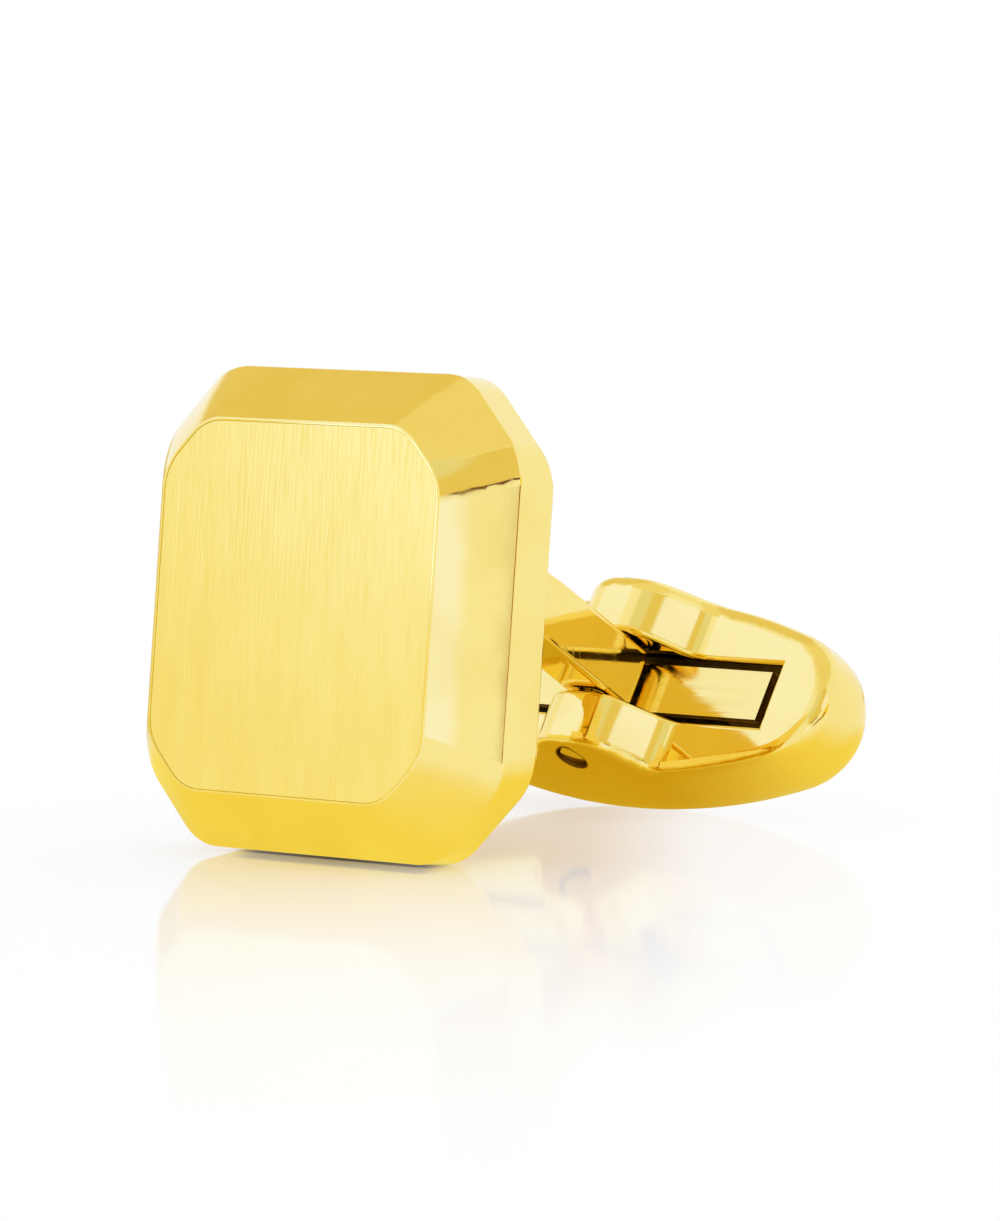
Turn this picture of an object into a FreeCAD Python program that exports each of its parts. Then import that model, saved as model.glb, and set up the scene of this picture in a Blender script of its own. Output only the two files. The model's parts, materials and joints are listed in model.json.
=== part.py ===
"""Octagonal cufflink with a swivel toggle, standing on a table on its head's lower edge and its toggle.

The head frame has X to the right, Y to the back and Z up, with Y = 0 where the bevel meets the side wall.
The toggle frame has X along the toggle, Y across it and Z towards the head, with the hinge pin at its origin.
Sizes are in millimetres and degrees.
"""
import FreeCAD, Part
import math
import os

from FreeCAD import Placement, Rotation, Vector

# Head: a square with cut corners, bevelled towards a raised satin face
head_width = 15.0
corner_cut = 2.45
back_corner_cut = 2.75
outer_vertex_round = 2.0
bevel_width = 1.7
bevel_depth = 1.8
bevel_crown = 0.05
wall_height = 1.6
face_cut = 1.6
face_vertex_round = 1.7
wall_edge_round = 0.12
back_edge_round = 0.2

# Plates seated in the front and the back of the head
face_rim = 0.08
face_edge_round = 0.12
face_gap = 0.006
face_thickness = 0.8
face_edge_break = 0.01
web_thickness = 0.6
back_rim = 0.8
back_thickness = 0.8
back_ledge = 0.6
seat_gap = 0.02

# Post: a nearly square bar with a bend, riveted into the back plate by a round tenon
post_width = 1.9
post_thickness = 2.05
post_edge_round = 0.2
root_height = 2.58
root_slope = 13.5
root_run = 5.45
bend_radius = 14.0
end_slope = 25.5
end_run = 3.7
heel_round = 0.6
tenon_diameter = 1.5
rivet_diameter = 2.4
rivet_height = 0.5

# Toggle: a boat-shaped bar, flat towards the head, with ears for the pin
toggle_length = 16.8
toggle_width = 6.7
toggle_end_round = 2.45
keel_depth = 3.1
crown_height = 8.0
widest_below_face = 1.45
pin_above_face = 1.0
ear_height = 1.8
ear_foot_length = 5.0
ear_top_length = 2.2
ear_top_round = 1.6
ear_foot_round = 0.9
toggle_rim_round = 0.55

# Slot with the leaf spring, and the hinge pin
slot_end_wall = 2.3
slot_side_gap = 0.07
slot_rim_round = 0.2
leaf_clearance = 0.02
leaf_thickness = 0.25
leaf_side_gap = 0.25
leaf_end_gap = 0.3
leaf_ledge = 1.4
flex_pocket_depth = 0.4
pin_diameter = 1.0
pin_running_gap = 0.03
pin_recess = 0.09
pin_end_break = 0.08

# Places that follow from the sizes
half_head = head_width / 2
half_face = half_head - bevel_width
half_post = post_width / 2
half_thickness = post_thickness / 2
slot_length = toggle_length - 2 * slot_end_wall
slot_width = post_thickness + 2 * slot_side_gap
heel_reach = (half_post - heel_round) * math.sqrt(2) + heel_round
leaf_top = -heel_reach - leaf_clearance
face_level = -pin_above_face
widest_level = face_level - widest_below_face
half_length = toggle_length / 2
half_width = toggle_width / 2
BEYOND = 2 * (head_width + toggle_length)

# How much an octagon's corner cut shrinks for each millimetre that its sides move in
CUT_SHRINK = 2 - math.sqrt(2)

# How near counts as the same place, and how the resting lean is searched for
SAME_PLACE = 1e-4
STEEPEST_FORWARD, STEEPEST_BACK = -45, 60
LEAN_HALVINGS = 60


def octagon_corners(half, cut, level):
    """Corners, in order, of an upright square with cut corners."""
    near = half - cut
    flat = [(-near, half), (near, half), (half, near), (half, -near),
            (near, -half), (-near, -half), (-half, -near), (-half, near)]
    return [Vector(x, level, z) for x, z in flat]


def octagon_wire(half, cut, vertex_round, level):
    """Octagon of eight lines joined by eight tangent arcs."""
    corners = octagon_corners(half, cut, level)
    turn = math.radians(45)
    reach = vertex_round * math.tan(turn / 2)
    sagitta = vertex_round * (1 / math.cos(turn / 2) - 1)
    starts, middles, ends = [], [], []
    for index, corner in enumerate(corners):
        back = (corners[index - 1] - corner).normalize()
        ahead = (corners[(index + 1) % 8] - corner).normalize()
        starts.append(corner + back * reach)
        middles.append(corner + (back + ahead).normalize() * sagitta)
        ends.append(corner + ahead * reach)
    edges = []
    for index in range(8):
        edges.append(Part.Arc(starts[index], middles[index], ends[index]).toShape())
        edges.append(Part.LineSegment(ends[index], starts[(index + 1) % 8]).toShape())
    return Part.Wire(edges)


def octagon_prism(half, cut, vertex_round, front, back):
    """Octagonal slab between two levels."""
    face = Part.Face(octagon_wire(half, cut, vertex_round, front))
    return face.extrude(Vector(0, back - front, 0))


def inset_octagon(inset, front, back):
    """Slab whose sides lie a steady distance inside the head's back edge."""
    cut = back_corner_cut - inset * CUT_SHRINK
    return octagon_prism(half_head - inset, cut, outer_vertex_round, front, back)


def edges_at_level(shape, level):
    """Edges that lie wholly at one Y level."""
    return [edge for edge in shape.Edges
            if all(abs(vertex.Y - level) < SAME_PLACE for vertex in edge.Vertexes)
            and abs(edge.CenterOfMass.y - level) < SAME_PLACE]


def face_outline_prism(inset, front, back):
    """Slab whose sides lie a steady distance inside the edge of the raised face."""
    cut = face_cut - inset * CUT_SHRINK
    return octagon_prism(half_face - inset, cut, face_vertex_round - inset, front, back)


def bevel_crest():
    """Octagon halfway down the bevel, raised by its crown."""
    slant = math.hypot(bevel_width, bevel_depth)
    outwards = bevel_crown * bevel_depth / slant
    forwards = bevel_crown * bevel_width / slant
    cut = (face_cut + corner_cut) / 2 + outwards * CUT_SHRINK
    vertex_round = (face_vertex_round + outer_vertex_round) / 2 + outwards
    return octagon_wire((half_face + half_head) / 2 + outwards, cut, vertex_round, -bevel_depth / 2 - forwards)


def head_frame():
    """Bevelled frame, with a recess for the face plate and a hollow behind its web."""
    front = octagon_wire(half_face, face_cut, face_vertex_round, -bevel_depth)
    middle = octagon_wire(half_head, corner_cut, outer_vertex_round, 0)
    rear = octagon_wire(half_head, back_corner_cut, outer_vertex_round, wall_height)
    bevel = Part.makeLoft([front, bevel_crest(), middle], True, False)
    wall = Part.makeLoft([middle, rear], True, True)
    body = bevel.fuse(wall).removeSplitter()
    body = body.makeFillet(back_edge_round, edges_at_level(body, wall_height))
    body = body.makeFillet(wall_edge_round, edges_at_level(body, 0))
    body = body.makeFillet(face_edge_round, edges_at_level(body, -bevel_depth))
    recess_floor = face_thickness - bevel_depth
    plate_seat = wall_height - back_thickness
    recess = face_outline_prism(face_rim, -bevel_depth, recess_floor)
    hollow = inset_octagon(back_rim + back_ledge, recess_floor + web_thickness, plate_seat)
    step = inset_octagon(back_rim, plate_seat, wall_height)
    return body.cut(recess).cut(hollow).cut(step)


def face_plate():
    """Satin plate, flush with the frame, with a fine broken edge."""
    plate = face_outline_prism(face_rim + face_gap, -bevel_depth, face_thickness - bevel_depth)
    return plate.makeChamfer(face_edge_break, edges_at_level(plate, -bevel_depth))


def tenon_axis_cylinder(diameter, front, back):
    """Round bar along Y at the post's root."""
    base = Vector(0, front, root_height)
    return Part.makeCylinder(diameter / 2, back - front, base, Vector(0, 1, 0))


def back_plate():
    """Plate that closes the head and holds the post's tenon."""
    plate_seat = wall_height - back_thickness
    plate = inset_octagon(back_rim + seat_gap, plate_seat, wall_height)
    return plate.cut(tenon_axis_cylinder(tenon_diameter + 2 * seat_gap, plate_seat, wall_height))


def slope_direction(slope):
    """Way along the post, from the head down to the toggle."""
    angle = math.radians(slope)
    return Vector(0, math.cos(angle), -math.sin(angle))


def slope_up(slope):
    """Way across the post's thickness, upwards."""
    angle = math.radians(slope)
    return Vector(0, math.sin(angle), math.cos(angle))


def bend_point(slope, offset):
    """Point on the post's bend, at a distance from its centre line."""
    root = Vector(0, wall_height, root_height)
    bend_start = root + slope_direction(root_slope) * root_run
    centre = bend_start - slope_up(root_slope) * bend_radius
    return centre + slope_up(slope) * (bend_radius + offset)


def pin_centre():
    """Middle of the hinge pin in the head frame."""
    return bend_point(end_slope, 0) + slope_direction(end_slope) * end_run


def post_side(offset):
    """Root, bend and heel points along one side of the post."""
    rise = offset / math.cos(math.radians(root_slope))
    root = Vector(0, wall_height, root_height + rise)
    middle_slope = (root_slope + end_slope) / 2
    bend = [bend_point(slope, offset) for slope in (root_slope, middle_slope, end_slope)]
    heel = pin_centre() + slope_direction(end_slope) * half_post + slope_up(end_slope) * offset
    return root, bend, heel


def post_bar():
    """Bent bar with a rounded heel and softened long edges."""
    top_root, top_bend, top_heel = post_side(half_thickness)
    low_root, low_bend, low_heel = post_side(-half_thickness)
    outline = Part.Wire([
        Part.LineSegment(top_root, top_bend[0]).toShape(),
        Part.Arc(*top_bend).toShape(),
        Part.LineSegment(top_bend[2], top_heel).toShape(),
        Part.LineSegment(top_heel, low_heel).toShape(),
        Part.LineSegment(low_heel, low_bend[2]).toShape(),
        Part.Arc(*reversed(low_bend)).toShape(),
        Part.LineSegment(low_bend[0], low_root).toShape(),
        Part.LineSegment(low_root, top_root).toShape(),
    ])
    bar = Part.Face(outline).extrude(Vector(post_width, 0, 0))
    bar.translate(Vector(-half_post, 0, 0))
    heel_middle = (top_heel + low_heel) / 2
    heel_edges = [edge for edge in bar.Edges
                  if abs(edge.CenterOfMass.sub(heel_middle).dot(slope_direction(end_slope))) < SAME_PLACE
                  and abs(abs(edge.CenterOfMass.x) - half_post) < SAME_PLACE]
    bar = bar.makeFillet(heel_round, heel_edges)
    long_edges = [edge for edge in bar.Edges if is_long_post_edge(edge)]
    return bar.makeFillet(post_edge_round, long_edges)


def is_long_post_edge(edge):
    """True for an edge that runs along the post beside its straight and bent faces."""
    on_side = all(abs(abs(vertex.X) - half_post) < SAME_PLACE for vertex in edge.Vertexes)
    at_root = all(abs(vertex.Y - wall_height) < SAME_PLACE for vertex in edge.Vertexes)
    across = edge.Length - post_thickness
    return on_side and not at_root and abs(across) > SAME_PLACE


def post():
    """Bar with the pin's running hole, a tenon and the rivet head that holds it in the back plate."""
    plate_seat = wall_height - back_thickness
    tenon = tenon_axis_cylinder(tenon_diameter, plate_seat - rivet_height, wall_height)
    rivet = tenon_axis_cylinder(rivet_diameter, plate_seat - rivet_height, plate_seat)
    bore = pin_cylinder(pin_diameter / 2 + pin_running_gap, post_thickness)
    bore.Placement = toggle_place()
    return post_bar().cut(bore).fuse([tenon, rivet]).removeSplitter()


def toggle_place():
    """Where the toggle frame stands in the head frame."""
    return Placement(pin_centre(), Rotation(Vector(1, 0, 0), 90 - end_slope))


def hull_half_outline():
    """Half of the toggle's outline seen from the head: a long side arc between two end arcs."""
    end_centre = half_length - toggle_end_round
    rise = half_width - toggle_end_round
    side_radius = (end_centre ** 2 + half_width ** 2 - toggle_end_round ** 2) / (2 * rise)
    side_centre = Vector(0, half_width - side_radius, 0)
    way = (Vector(end_centre, 0, 0) - side_centre).normalize()
    joint = Vector(end_centre, 0, 0) + way * toggle_end_round
    half_turn = math.atan2(way.y, way.x) / 2
    middle = Vector(end_centre + toggle_end_round * math.cos(half_turn), toggle_end_round * math.sin(half_turn), 0)

    def mirrored(point):
        return Vector(-point.x, point.y, 0)

    tip = Vector(half_length, 0, 0)
    return Part.Wire([
        Part.Arc(tip, middle, joint).toShape(),
        Part.Arc(joint, Vector(0, half_width, 0), mirrored(joint)).toShape(),
        Part.Arc(mirrored(joint), mirrored(middle), mirrored(tip)).toShape(),
        Part.LineSegment(mirrored(tip), tip).toShape(),
    ])


def hull_half(height, side):
    """Upper or lower half of the hull: the outline turned about its length, then drawn out to its height."""
    turned = Part.Face(hull_half_outline()).revolve(Vector(0, 0, 0), Vector(1, 0, 0), side * 180)
    stretch = FreeCAD.Matrix()
    stretch.scale(1, 1, height / half_width)
    half = turned.transformGeometry(stretch)
    half.translate(Vector(0, 0, widest_level))
    return half


def ear_profile_prism():
    """Everything below the toggle's flat face and its raised ears."""
    foot = ear_foot_length / 2
    top = ear_top_length / 2
    ear_level = face_level + ear_height
    points = [(-BEYOND, face_level), (-foot, face_level), (-top, ear_level), (top, ear_level),
              (foot, face_level), (BEYOND, face_level), (BEYOND, -BEYOND), (-BEYOND, -BEYOND)]
    corners = [Vector(x, -BEYOND, z) for x, z in points]
    prism = Part.Face(Part.makePolygon(corners + corners[:1])).extrude(Vector(0, 2 * BEYOND, 0))
    prism = prism.makeFillet(ear_top_round, ear_edges(prism, top, ear_level))
    return prism.makeFillet(ear_foot_round, ear_edges(prism, foot, face_level))


def ear_edges(prism, distance, level):
    """The two edges across the toggle at one distance from its middle."""
    return [edge for edge in prism.Edges
            if abs(abs(edge.CenterOfMass.x) - distance) < SAME_PLACE
            and abs(edge.CenterOfMass.z - level) < SAME_PLACE]


def pin_cylinder(radius, length):
    """Round bar along the hinge axis, centred on the toggle's middle, in the toggle frame."""
    return Part.makeCylinder(radius, length, Vector(0, -length / 2, 0), Vector(0, 1, 0))


def pin_seat_reach():
    """Distance from the middle to the pin's ends, just inside the ears' outer walls."""
    climb = -widest_level / crown_height
    return half_width * math.sqrt(1 - climb ** 2) - pin_recess


def box_between(half_x, half_y, low, high):
    """Box centred on the toggle's middle between two levels."""
    return Part.makeBox(2 * half_x, 2 * half_y, high - low, Vector(-half_x, -half_y, low))


def toggle_body():
    """Boat-shaped hull with a flat face, ears, the slot for the post and the leaf, and the pin's hole."""
    hull = hull_half(crown_height, 1).fuse(hull_half(keel_depth, -1))
    body = hull.common(ear_profile_prism())
    rim = [edge for edge in body.Edges if is_rim_edge(edge)]
    body = body.makeFillet(toggle_rim_round, rim)
    seat_level = leaf_top - leaf_thickness
    slot_floor = seat_level - flex_pocket_depth
    body = body.cut(box_between(slot_length / 2, slot_width / 2, slot_floor, BEYOND))
    body = body.makeFillet(slot_rim_round, [edge for edge in body.Edges if is_slot_rim_edge(edge)])
    hole = pin_cylinder(pin_diameter / 2 + seat_gap, BEYOND)
    return body.cut(hole).fuse(leaf_seats(slot_floor, seat_level)).removeSplitter()


def leaf_seats(low, high):
    """Two blocks on the slot's floor that carry the leaf's ends."""
    outer = leaf_half_length()
    inner = outer - leaf_ledge
    seats = box_between(outer, leaf_half_width(), low, high)
    return seats.cut(box_between(inner, leaf_half_width(), low, high))


def is_rim_edge(edge):
    """True for an edge where the hull's side meets the flat face or an ear's top."""
    middle = edge.valueAt((edge.FirstParameter + edge.LastParameter) / 2)
    off_axis = abs(middle.y) > slot_width / 2 or abs(middle.x) > slot_length / 2
    return middle.z > face_level - SAME_PLACE and off_axis


def is_slot_rim_edge(edge):
    """True for an edge where the slot opens through the flat face or an ear."""
    middle = edge.valueAt((edge.FirstParameter + edge.LastParameter) / 2)
    on_side = abs(abs(middle.y) - slot_width / 2) < SAME_PLACE
    on_end = abs(abs(middle.x) - slot_length / 2) < SAME_PLACE
    above = all(vertex.Z > face_level - SAME_PLACE for vertex in edge.Vertexes)
    return above and (on_side or on_end)


def leaf_half_length():
    """Distance from the toggle's middle to the leaf's end."""
    return slot_length / 2 - leaf_end_gap


def leaf_half_width():
    """Distance from the toggle's middle to the leaf's side."""
    return slot_width / 2 - leaf_side_gap


def leaf_spring():
    """Flat strip on the slot's two seats, just clear of the post's heel."""
    return box_between(leaf_half_length(), leaf_half_width(), leaf_top - leaf_thickness, leaf_top)


def hinge_pin():
    """Cross pin with broken ends."""
    pin = pin_cylinder(pin_diameter / 2, 2 * pin_seat_reach())
    rims = [edge for edge in pin.Edges if len(edge.Vertexes) == 1]
    return pin.makeChamfer(pin_end_break, rims)


def rest_lean():
    """Backward lean at which the head's lower back edge and the keel touch one table."""
    edge_centre = Vector(0, wall_height - back_edge_round, back_edge_round - half_head)
    keel_centre = pin_centre() - slope_direction(end_slope) * widest_level

    def keel_drop(lean):
        down = Vector(0, math.sin(lean), -math.cos(lean))
        across = half_width * down.dot(slope_up(end_slope))
        along = keel_depth * down.dot(slope_direction(end_slope))
        return keel_centre.dot(down) + math.hypot(across, along) - edge_centre.dot(down) - back_edge_round

    low, high = math.radians(STEEPEST_FORWARD), math.radians(STEEPEST_BACK)
    for _ in range(LEAN_HALVINGS):
        middle = (low + high) / 2
        if keel_drop(middle) < 0:
            low = middle
        else:
            high = middle
    return math.degrees(low)


def stand_on_table(parts):
    """Lean the whole cufflink back, set it on Z = 0 and centre it on the origin."""
    lean = Placement(Vector(0, 0, 0), Rotation(Vector(1, 0, 0), -rest_lean()))
    for shape in parts.values():
        shape.Placement = lean.multiply(shape.Placement)
    box = Part.makeCompound(list(parts.values())).optimalBoundingBox(False, False)
    shift = Vector(0, -(box.YMin + box.YMax) / 2, -box.ZMin)
    for shape in parts.values():
        shape.translate(shift)
    pin = lean.multVec(pin_centre()) + shift
    axis = lean.Rotation.multVec(slope_up(end_slope))
    print("lean %.3f  pin %.4f %.4f %.4f  axis %.5f %.5f %.5f" % (rest_lean(), *pin, *axis))


def main():
    """Build every piece, stand the cufflink on the table and write one file for each piece."""
    parts = {
        "head_frame": head_frame(),
        "face_plate": face_plate(),
        "back_plate": back_plate(),
        "post": post(),
        "toggle_body": toggle_body(),
        "leaf_spring": leaf_spring(),
        "hinge_pin": hinge_pin(),
    }
    for name in ("toggle_body", "leaf_spring", "hinge_pin"):
        parts[name].Placement = toggle_place().multiply(parts[name].Placement)
    stand_on_table(parts)
    os.makedirs("parts", exist_ok=True)
    for name, shape in parts.items():
        print("%-12s solids %d valid %s volume %.3f" % (name, len(shape.Solids), shape.isValid(), shape.Volume))
        shape.exportStep("parts/" + name + ".step")


main()
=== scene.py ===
"""Looks of the octagonal cufflink: polished and brushed gold plate, a white table and a soft studio.

The frame is the table's: X along the toggle, Y from the face to the toggle, Z up, in metres.
"""

import json
import math

import bmesh
import bpy
from mathutils import Matrix, Vector

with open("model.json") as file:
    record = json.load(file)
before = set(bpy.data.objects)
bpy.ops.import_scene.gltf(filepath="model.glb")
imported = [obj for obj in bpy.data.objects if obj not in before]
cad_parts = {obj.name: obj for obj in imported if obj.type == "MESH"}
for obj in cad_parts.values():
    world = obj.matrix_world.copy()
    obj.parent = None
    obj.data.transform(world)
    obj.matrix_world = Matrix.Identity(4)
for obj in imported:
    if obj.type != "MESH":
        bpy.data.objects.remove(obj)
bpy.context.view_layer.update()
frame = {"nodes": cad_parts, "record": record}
MM = 0.001

# Camera, as the photograph sees the cufflink: turn and climb round it, and the tilt of the picture
camera_turn = math.radians(42.19)
camera_climb = math.radians(5.71)
camera_tilt = math.radians(-1.44)
camera_distance = 269.0 * MM
camera_aim = Vector((0.06, 0.0, 6.99)) * MM
camera_lens = 252.0
camera_near = 10.0 * MM
camera_far = 10.0

# Gold plate: its colour, and the deeper tone that handling and brushing leave in patches
gold_color = (0.97, 0.79, 0.26)
gold_deep_color = (0.95, 0.75, 0.22)
satin_color = (0.99, 0.835, 0.305)
satin_deep_color = (0.95, 0.755, 0.20)
spring_color = (0.95, 0.77, 0.24)
spring_deep_color = (0.93, 0.74, 0.20)

# Polish: roughness of clean and of smudged metal, and the height of its waves
polish_clean = 0.045
polish_smudged = 0.11
polish_wave_height = 0.003 * MM

# Marks in the polish: how quickly each changes, how fine it is, and the noise where it starts and is full
smudge_scale = 420.0
smudge_detail = 4.0
smudge_range = (0.38, 0.68)
hairline_stretch = Vector((2600.0, 900.0, 150.0))
hairline_turn = (0.5, 0.9, 0.35)
hairline_scale = 3.0
hairline_detail = 1.0
hairline_range = (0.62, 0.72)
wave_scale = 900.0
wave_detail = 1.0

# Brushed lines: how quickly they change along X, Y and Z, their roughness and their depth
satin_lines = Vector((11000.0, 0.0, 650.0))
satin_patches = Vector((1500.0, 0.0, 260.0))
satin_smooth = 0.31
satin_rough = 0.37
satin_depth = 0.0035 * MM
spring_lines = Vector((160.0, 7000.0, 7000.0))
spring_patches = Vector((300.0, 700.0, 700.0))
spring_smooth = 0.08
spring_rough = 0.18
spring_depth = 0.001 * MM
line_detail = 3.0
patch_detail = 2.0
brush_range = (0.25, 0.75)
brushed_smudges = 0.4

# Painted shade, with some dirt, round the hinge pin: its colour, and where it starts and ends, measured from
# the hinge axis
hinge = frame["record"]["behaviour"]["joints"][0]
hinge_place = Vector(hinge["pos_m"])
hinge_way = Vector(hinge["axis"]).normalized()
shade_and_dirt_color = (0.20, 0.11, 0.03)
shade_and_dirt_roughness = 0.5
shade_and_dirt_inside = (0.503 * MM, 0.512 * MM)
shade_and_dirt_outside = (0.54 * MM, 0.60 * MM)

# Painted shade, with some dirt, on the walls of the toggle's slot, measured from the hinge pin's middle
toggle_way = Vector((1.0, 0.0, 0.0))
slot_half_length = 6.1 * MM
slot_half_width = 1.095 * MM
slot_middle_depth = 1.6 * MM
slot_half_depth = 0.4 * MM
slot_shade_and_dirt_edge = 0.03 * MM
slot_shade_and_dirt_fade = 0.12 * MM
slot_shade_and_dirt_level = 0.75

# Table: its own white, and the lift that the camera adds
table_half_size = 1.2
table_color = (0.80, 0.80, 0.80)
table_lift = 0.10
table_roughness = 0.07
full_white = (1.0, 1.0, 1.0)
no_light = (0.0, 0.0, 0.0)

# Gloss of the table: it fades away from the head's foot, and towards the toggle's end on the picture's right
foot_centre = Vector((0.0, -9.0, 0.0)) * MM
gloss_reach = 75.0 * MM
gloss_fall = 2.5
picture_right = Vector((math.cos(camera_turn), math.sin(camera_turn), 0.0))
gloss_side_start = 2.0 * MM
gloss_side_end = 7.0 * MM
gloss_side_level = 0.3

# Painted gold glow on the table round the cufflink, with painted shade in dark amber under it, as the metal
# sees it, with a warm, darker left side and a pale right one
glow_centre = Vector((-3.5, 3.5, 0.0)) * MM
glow_under = 5.0 * MM
glow_edge = 14.0 * MM
glow_end = 26.0 * MM
glow_under_color = (0.64, 0.40, 0.02)
glow_edge_color = (0.95, 0.82, 0.22)
warm_side_start = -12.0 * MM
warm_side_end = -40.0 * MM
warm_side_level = 0.80
pale_side_start = 9.0 * MM
pale_side_end = 15.0 * MM
pale_side_share = 0.5

# Painted contact shadow in the gap under the head, in front of the edge that it stands on
gap_centre = -7.6 * MM
gap_inner = 0.35 * MM
gap_outer = 0.6 * MM
gap_half_length = 3.4 * MM
gap_end = 4.6 * MM
gap_shadow_color = (0.10, 0.07, 0.02)

# Warm parts of the studio are amber: green and blue fall away faster than red
amber_green = 1.9
amber_blue = 6.0

# Studio dome: white walls up to a height, then a warm ceiling, given as the direction's height
wall_color = (0.98, 1.0, 1.08)
ceiling_level = 0.90
wall_top = 0.76
ceiling_start = 0.90

# Soft lamp that brightens the face plate's upper right
lamp_place = Vector((-28.0, -53.0, 25.0)) * MM
lamp_aim = Vector((4.0, -8.8, 12.0)) * MM
lamp_size = 22.0 * MM
lamp_color = (0.10, 0.28, 1.0)
lamp_power = 0.0031

# Sockets of a Mix node that mixes colours
mix_share = 0
mix_first = 6
mix_second = 7
mix_result = 2


def amber(level):
    """Warm colour of a dim part of the studio."""
    return (level, level ** amber_green, level ** amber_blue)


# Patches on the dome: the way to each, the cosines of its outer and inner edge, and its colour
dome_patches = {
    "back_left_ceiling": ((-0.67, 0.30, 0.68), 0.866, 0.94, amber(0.83)),
    "above_camera": ((0.62, -0.52, 0.59), 0.9135, 0.9336, amber(0.83)),
    "front_top": ((0.20, -0.66, 0.72), 0.951, 0.982, (0.83, 0.82, 0.68)),
    "camera_side": ((0.669, -0.738, 0.09), 0.9877, 0.9976, (1.0, 1.1, 1.8)),
    "left_front": ((-0.67, -0.74, 0.10), 0.87, 0.95, (0.96, 0.84, 0.29)),
    "left_window": ((-0.70, -0.45, 0.55), 0.93, 0.965, (1.0, 1.08, 1.6)),
    "right_curtain": ((0.996, 0.066, 0.074), 0.970, 0.985, (0.94, 0.74, 0.04)),
    "right_window": ((0.82, -0.22, 0.52), 0.975, 0.99, (1.0, 1.07, 1.65)),
}

# Level dark strips on the dome: the way to each, the cosines of its ends outside and inside,
# half its height inside and outside, and its colour
dome_strips = {
    "right_strip": ((0.974, -0.221, 0.045), 0.94, 0.96, 0.03, 0.05, amber(0.35)),
    "front_line": ((0.768, -0.590, 0.25), 0.986, 0.989, 0.016, 0.026, amber(0.12)),
}


def add_node(tree, kind, **settings):
    """New node with its plain settings."""
    node = tree.nodes.new(kind)
    for name, value in settings.items():
        setattr(node, name, value)
    return node


def feed(tree, socket, value):
    """Link a socket, or set a colour, vector or number, on an input."""
    if isinstance(value, bpy.types.NodeSocket):
        tree.links.new(value, socket)
    elif isinstance(value, tuple) and socket.type == "RGBA":
        socket.default_value = (*value, 1)
    else:
        socket.default_value = value


def add_math(tree, operation, first, second):
    """Math node on two sockets or numbers."""
    node = add_node(tree, "ShaderNodeMath", operation=operation)
    feed(tree, node.inputs[0], first)
    feed(tree, node.inputs[1], second)
    return node.outputs["Value"]


def add_vector_math(tree, operation, first, second):
    """Vector math node on two sockets or vectors."""
    node = add_node(tree, "ShaderNodeVectorMath", operation=operation)
    feed(tree, node.inputs[0], first)
    feed(tree, node.inputs[1], second)
    return node


def add_ramp(tree, value, low, high, low_out=0.0, high_out=1.0):
    """Smooth step of a value from one range to another."""
    node = add_node(tree, "ShaderNodeMapRange", interpolation_type="SMOOTHSTEP")
    feed(tree, node.inputs["Value"], value)
    for name, number in (("From Min", low), ("From Max", high), ("To Min", low_out), ("To Max", high_out)):
        node.inputs[name].default_value = number
    return node.outputs["Result"]


def add_band(tree, value, middle, inner, outer):
    """One near a middle value, smoothly falling to nought away from it."""
    offset = add_math(tree, "ABSOLUTE", add_math(tree, "SUBTRACT", value, middle), 0.0)
    return add_ramp(tree, offset, outer, inner)


def add_mix(tree, share, first, second):
    """Colour mix of two sockets or colours."""
    node = add_node(tree, "ShaderNodeMix", data_type="RGBA")
    feed(tree, node.inputs[mix_share], share)
    feed(tree, node.inputs[mix_first], first)
    feed(tree, node.inputs[mix_second], second)
    return node.outputs[mix_result]


def add_shader_mix(tree, share, first, second):
    """Mix of two shaders."""
    node = add_node(tree, "ShaderNodeMixShader")
    for socket, value in zip(node.inputs, (share, first, second)):
        feed(tree, socket, value)
    return node.outputs["Shader"]


def add_noise(tree, place, scale, detail):
    """Noise value over a place."""
    node = add_node(tree, "ShaderNodeTexNoise")
    feed(tree, node.inputs["Vector"], place)
    node.inputs["Scale"].default_value = scale
    node.inputs["Detail"].default_value = detail
    return node.outputs["Fac"]


def new_group(name, inputs, outputs):
    """Shader node group with named sockets, and the inputs of its end node."""
    group = bpy.data.node_groups.new(name, "ShaderNodeTree")
    for socket in inputs:
        group.interface.new_socket(socket, in_out="INPUT", socket_type="NodeSocketVector")
    for socket in outputs:
        group.interface.new_socket(socket, in_out="OUTPUT", socket_type="NodeSocketFloat")
    return group, add_node(group, "NodeGroupOutput").inputs


def polish_marks():
    """Group of what a polishing wheel and fingers leave: smudges, hairlines and slow waves."""
    group, end = new_group("polish_marks", (), ("Smudges", "Hairlines", "Waves"))
    place = add_node(group, "ShaderNodeTexCoord").outputs["Object"]
    smudges = add_noise(group, place, smudge_scale, smudge_detail)
    feed(group, end["Smudges"], add_ramp(group, smudges, *smudge_range))
    turned = add_node(group, "ShaderNodeMapping")
    feed(group, turned.inputs["Vector"], place)
    turned.inputs["Rotation"].default_value = hairline_turn
    turned.inputs["Scale"].default_value = hairline_stretch
    hairlines = add_noise(group, turned.outputs["Vector"], hairline_scale, hairline_detail)
    feed(group, end["Hairlines"], add_ramp(group, hairlines, *hairline_range))
    feed(group, end["Waves"], add_noise(group, place, wave_scale, wave_detail))
    return group


def brushed_lines():
    """Group of fine parallel lines, with broader patches where the brush bit deeper."""
    group, end = new_group("brushed_lines", ("Lines", "Patches"), ("Lines", "Patches"))
    start = add_node(group, "NodeGroupInput").outputs
    place = add_node(group, "ShaderNodeTexCoord").outputs["Object"]
    for name, detail in (("Lines", line_detail), ("Patches", patch_detail)):
        stretched = add_vector_math(group, "MULTIPLY", place, start[name]).outputs["Vector"]
        value = add_noise(group, stretched, 1.0, detail)
        feed(group, end[name], add_ramp(group, value, *brush_range))
    return group


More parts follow.
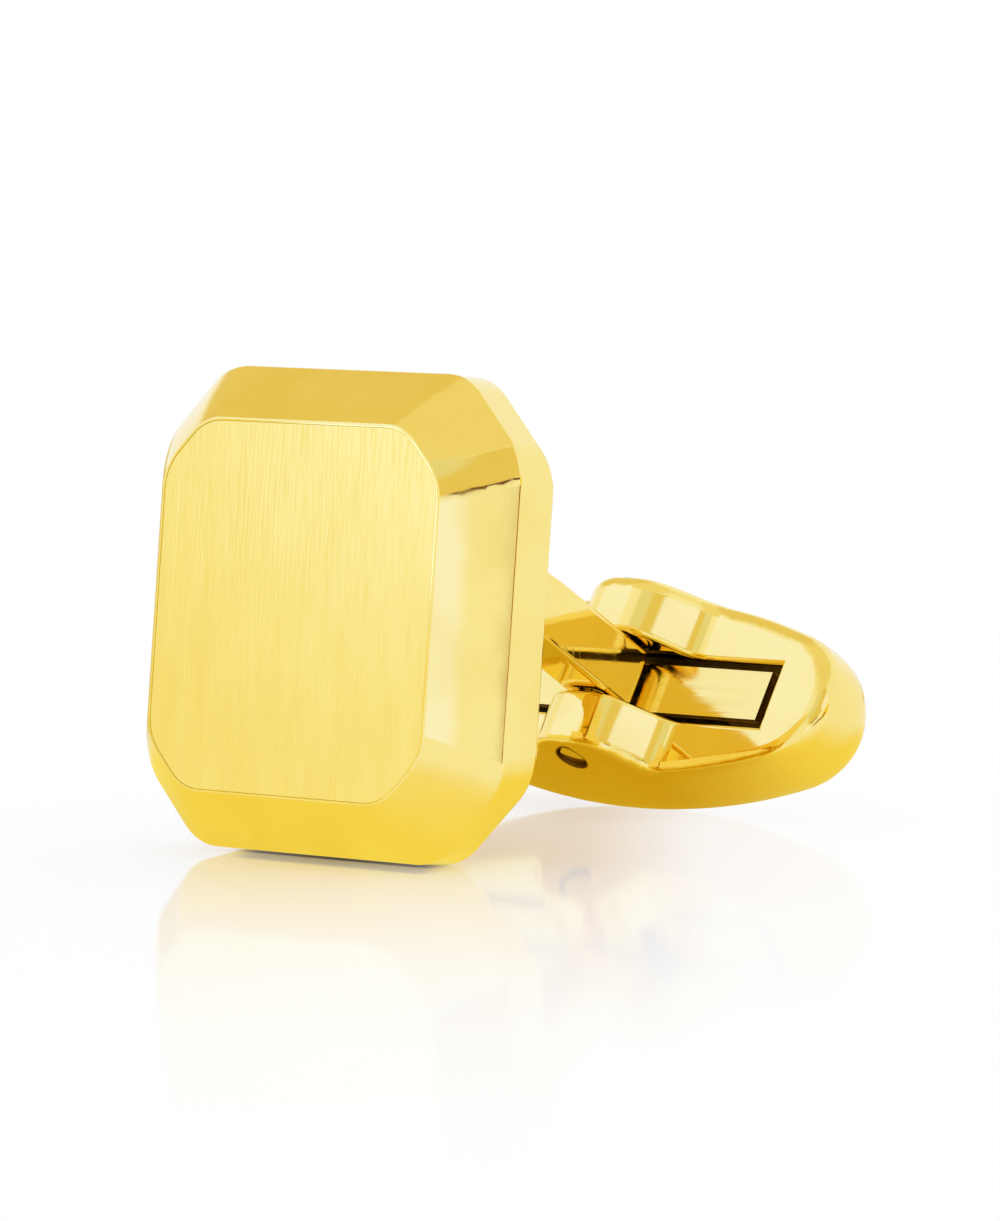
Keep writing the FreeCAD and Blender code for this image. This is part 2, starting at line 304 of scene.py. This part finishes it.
def pin_ring(tree, from_pin):
    """Share of the painted shade, with some dirt, in the dark rings round the hinge pin."""
    across = add_vector_math(tree, "CROSS_PRODUCT", from_pin, hinge_way).outputs["Vector"]
    away = add_node(tree, "ShaderNodeVectorMath", operation="LENGTH")
    feed(tree, away.inputs[0], across)
    inside = add_ramp(tree, away.outputs["Value"], *shade_and_dirt_inside)
    outside = add_ramp(tree, away.outputs["Value"], *reversed(shade_and_dirt_outside))
    return add_math(tree, "MULTIPLY", inside, outside)


def slot_walls(tree, from_pin):
    """Share of the painted shade, with some dirt, on the walls of the toggle's slot."""
    reaches = (
        (toggle_way, 0.0, slot_half_length + slot_shade_and_dirt_edge, slot_shade_and_dirt_edge),
        (hinge_way, 0.0, slot_half_width + slot_shade_and_dirt_edge, slot_shade_and_dirt_edge),
        (hinge_way.cross(toggle_way), slot_middle_depth, slot_half_depth, slot_shade_and_dirt_fade),
    )
    share = slot_shade_and_dirt_level
    for way, middle, inner, fade in reaches:
        along = add_vector_math(tree, "DOT_PRODUCT", from_pin, way).outputs["Value"]
        share = add_math(tree, "MULTIPLY", share, add_band(tree, along, middle, inner, inner + fade))
    return share


def hinge_shade_and_dirt():
    """Group of the painted shade, with some dirt, round the hinge pin and in the toggle's slot."""
    group, end = new_group("hinge_shade_and_dirt", (), ("ShadeAndDirt",))
    place = add_node(group, "ShaderNodeTexCoord").outputs["Object"]
    from_pin = add_vector_math(group, "SUBTRACT", place, hinge_place).outputs["Vector"]
    both = add_math(group, "MAXIMUM", pin_ring(group, from_pin), slot_walls(group, from_pin))
    feed(group, end["ShadeAndDirt"], both)
    return group


def new_metal(name):
    """Metal material, with its node tree and shader."""
    material = bpy.data.materials.new(name)
    material.use_nodes = True
    shader = material.node_tree.nodes["Principled BSDF"]
    shader.inputs["Metallic"].default_value = 1
    return material, material.node_tree, shader


def add_bump(tree, shader, height, distance):
    """Bump of a height on the shader's normal."""
    bump = add_node(tree, "ShaderNodeBump")
    bump.inputs["Distance"].default_value = distance
    feed(tree, bump.inputs["Height"], height)
    feed(tree, shader.inputs["Normal"], bump.outputs["Normal"])


def polished_gold(marks_group):
    """Mirror-polished pale gold plate, with painted shade and some dirt round the hinge pin and in the
    toggle's slot.
    """
    material, tree, shader = new_metal("polished_gold")
    marks = add_node(tree, "ShaderNodeGroup", node_tree=marks_group).outputs
    shade_and_dirt = add_node(tree, "ShaderNodeGroup", node_tree=hinge_shade_and_dirt()).outputs["ShadeAndDirt"]
    clean = add_mix(tree, marks["Smudges"], gold_color, gold_deep_color)
    # The base colour turns dark brown round the hinge pin and in the slot: painted shade, with some dirt.
    feed(tree, shader.inputs["Base Color"], add_mix(tree, shade_and_dirt, clean, shade_and_dirt_color))
    worn = add_math(tree, "MAXIMUM", marks["Smudges"], marks["Hairlines"])
    polish = add_ramp(tree, worn, 0.0, 1.0, polish_clean, polish_smudged)
    dirt = add_math(tree, "MULTIPLY", shade_and_dirt, shade_and_dirt_roughness)
    feed(tree, shader.inputs["Roughness"], add_math(tree, "MAXIMUM", polish, dirt))
    add_bump(tree, shader, marks["Waves"], polish_wave_height)
    return material


def brushed_gold(name, lines_group, marks_group, lines_scale, patches_scale, colors, roughness, depth):
    """Gold plate brushed one way, clouded by handling."""
    material, tree, shader = new_metal(name)
    brushed = add_node(tree, "ShaderNodeGroup", node_tree=lines_group)
    brushed.inputs["Lines"].default_value = lines_scale
    brushed.inputs["Patches"].default_value = patches_scale
    lines = brushed.outputs["Lines"]
    scored = add_math(tree, "MULTIPLY", lines, brushed.outputs["Patches"])
    marks = add_node(tree, "ShaderNodeGroup", node_tree=marks_group).outputs
    clouds = add_math(tree, "MULTIPLY", marks["Smudges"], brushed_smudges)
    tone = add_math(tree, "MAXIMUM", scored, clouds)
    feed(tree, shader.inputs["Base Color"], add_mix(tree, tone, *colors))
    feed(tree, shader.inputs["Roughness"], add_ramp(tree, lines, 0.0, 1.0, *roughness))
    add_bump(tree, shader, lines, depth)
    return material


def dress_nodes():
    """Give each CAD node its finish."""
    lines = brushed_lines()
    marks = polish_marks()
    polished = polished_gold(marks)
    satin = brushed_gold("satin_gold", lines, marks, satin_lines, satin_patches,
                         (satin_color, satin_deep_color), (satin_smooth, satin_rough), satin_depth)
    spring = brushed_gold("spring_gold", lines, marks, spring_lines, spring_patches,
                          (spring_color, spring_deep_color), (spring_smooth, spring_rough), spring_depth)
    finishes = {"face_plate": satin, "leaf_spring": spring}
    for name, node in frame["nodes"].items():
        node.data.materials.clear()
        node.data.materials.append(finishes.get(name, polished))


def head_gap_shadow(tree, axes):
    """Share of the painted contact shadow in the gap under the head's front edge."""
    along = add_band(tree, axes["X"], 0.0, gap_half_length, gap_end)
    across = add_band(tree, axes["Y"], gap_centre, gap_inner, gap_outer)
    return add_math(tree, "MULTIPLY", along, across)


def table_glow(tree, place, axes, gap_shadow):
    """Table as the metal sees it, a painted glow and shade: gold near the cufflink, dark amber under it, warm
    and darker at left, pale at right, and the painted contact shadow in the gap.
    """
    away = add_vector_math(tree, "DISTANCE", place, glow_centre).outputs["Value"]
    left = add_ramp(tree, axes["X"], warm_side_start, warm_side_end)
    plain = add_mix(tree, left, wall_color, amber(warm_side_level))
    glow = add_mix(tree, add_ramp(tree, away, glow_under, glow_edge), glow_under_color, glow_edge_color)
    glow = add_mix(tree, add_ramp(tree, away, glow_edge, glow_end), glow, plain)
    right = add_ramp(tree, axes["X"], pale_side_start, pale_side_end, 0.0, pale_side_share)
    glow = add_mix(tree, right, glow, wall_color)
    return add_mix(tree, gap_shadow, glow, gap_shadow_color)


def table_gloss(tree, place):
    """Share of the table's gloss: full at the head's foot, less away from it and on the picture's right."""
    away = add_vector_math(tree, "DISTANCE", place, foot_centre).outputs["Value"]
    nearness = add_math(tree, "SUBTRACT", 1.0, add_math(tree, "DIVIDE", away, gloss_reach))
    faded = add_math(tree, "POWER", add_math(tree, "MAXIMUM", nearness, 0.0), gloss_fall)
    side = add_vector_math(tree, "DOT_PRODUCT", place, picture_right).outputs["Value"]
    dulled = add_ramp(tree, side, gloss_side_start, gloss_side_end, 1.0, gloss_side_level)
    return add_math(tree, "MULTIPLY", faded, dulled)


def table_white():
    """Glossy white table top; away from the head's foot the camera sees it as plain white."""
    material = bpy.data.materials.new("table_white")
    material.use_nodes = True
    material.cycles.emission_sampling = "NONE"
    tree = material.node_tree
    shader = tree.nodes["Principled BSDF"]
    shader.inputs["Roughness"].default_value = table_roughness
    place = add_node(tree, "ShaderNodeTexCoord").outputs["Object"]
    split = add_node(tree, "ShaderNodeSeparateXYZ")
    feed(tree, split.inputs["Vector"], place)
    gap_shadow = head_gap_shadow(tree, split.outputs)
    # Painted contact shadow: the table is dark in the gap under the head, and the camera's lift is off there.
    feed(tree, shader.inputs["Base Color"], add_mix(tree, gap_shadow, table_color, gap_shadow_color))
    feed(tree, shader.inputs["Emission Color"], add_mix(tree, gap_shadow, full_white, no_light))
    light_path = add_node(tree, "ShaderNodeLightPath").outputs
    lift = add_math(tree, "MULTIPLY", light_path["Is Camera Ray"], table_lift)
    feed(tree, shader.inputs["Emission Strength"], lift)
    unseen = add_math(tree, "SUBTRACT", 1.0, light_path["Is Camera Ray"])
    glossy = add_math(tree, "MAXIMUM", table_gloss(tree, place), unseen)
    plain = add_node(tree, "ShaderNodeEmission").outputs["Emission"]
    seen = add_shader_mix(tree, glossy, plain, shader.outputs["BSDF"])
    # The metal sees the table as an emission, a painted glow and shade with no lamp behind it.
    glow = add_node(tree, "ShaderNodeEmission")
    feed(tree, glow.inputs["Color"], table_glow(tree, place, split.outputs, gap_shadow))
    surface = add_shader_mix(tree, light_path["Is Glossy Ray"], seen, glow.outputs["Emission"])
    feed(tree, tree.nodes["Material Output"].inputs["Surface"], surface)
    return material


def table():
    """White table top under the cufflink."""
    shape = bmesh.new()
    bmesh.ops.create_grid(shape, x_segments=1, y_segments=1, size=table_half_size)
    mesh = bpy.data.meshes.new("table")
    shape.to_mesh(mesh)
    shape.free()
    top = bpy.data.objects.new("table", mesh)
    bpy.context.scene.collection.objects.link(top)
    mesh.materials.append(table_white())


def nearness_to(tree, way, aim):
    """Cosine of the angle between a way and the way to something on the dome."""
    return add_vector_math(tree, "DOT_PRODUCT", way, Vector(aim).normalized()).outputs["Value"]


def dome():
    """Studio all round, white to the camera and the table; the metal sees its walls, ceiling and windows."""
    world = bpy.data.worlds.new("studio")
    bpy.context.scene.world = world
    world.use_nodes = True
    tree = world.node_tree
    way = add_node(tree, "ShaderNodeTexCoord").outputs["Generated"]
    split = add_node(tree, "ShaderNodeSeparateXYZ")
    feed(tree, split.inputs["Vector"], way)
    height = split.outputs["Z"]
    color = add_mix(tree, add_ramp(tree, height, wall_top, ceiling_start), wall_color, amber(ceiling_level))
    for aim, outer, inner, patch_color in dome_patches.values():
        patch = add_ramp(tree, nearness_to(tree, way, aim), outer, inner)
        color = add_mix(tree, patch, color, patch_color)
    for aim, end_outer, end_inner, inner, outer, strip_color in dome_strips.values():
        along = add_ramp(tree, nearness_to(tree, way, aim), end_outer, end_inner)
        across = add_band(tree, height, Vector(aim).z, inner, outer)
        color = add_mix(tree, add_math(tree, "MULTIPLY", along, across), color, strip_color)
    light_path = add_node(tree, "ShaderNodeLightPath").outputs
    color = add_mix(tree, light_path["Is Glossy Ray"], full_white, color)
    feed(tree, tree.nodes["Background"].inputs["Color"], color)


def lamp():
    """Soft lamp for the face plate, which lights the metal alone."""
    data = bpy.data.lights.new("lamp", "AREA")
    data.size = lamp_size
    data.color = lamp_color
    data.energy = lamp_power
    light = bpy.data.objects.new("lamp", data)
    turn = (lamp_aim - lamp_place).to_track_quat("-Z", "Y")
    light.matrix_world = Matrix.Translation(lamp_place) @ turn.to_matrix().to_4x4()
    light.visible_camera = False
    light.visible_diffuse = False
    bpy.context.scene.collection.objects.link(light)


def camera():
    """Camera at the photograph's angle."""
    data = bpy.data.cameras.new("camera")
    data.lens = camera_lens
    data.clip_start = camera_near
    data.clip_end = camera_far
    eye = bpy.data.objects.new("camera", data)
    flat = math.cos(camera_climb)
    back = Vector((math.sin(camera_turn) * flat, -math.cos(camera_turn) * flat, math.sin(camera_climb)))
    level = (-back).to_track_quat("-Z", "Y").to_matrix()
    tilt = Matrix.Rotation(camera_tilt, 3, "Z")
    eye.matrix_world = Matrix.Translation(camera_aim + back * camera_distance) @ (level @ tilt).to_4x4()
    bpy.context.scene.collection.objects.link(eye)
    bpy.context.scene.camera = eye


dress_nodes()
table()
dome()
lamp()
camera()
bpy.context.scene.view_settings.view_transform = "Standard"
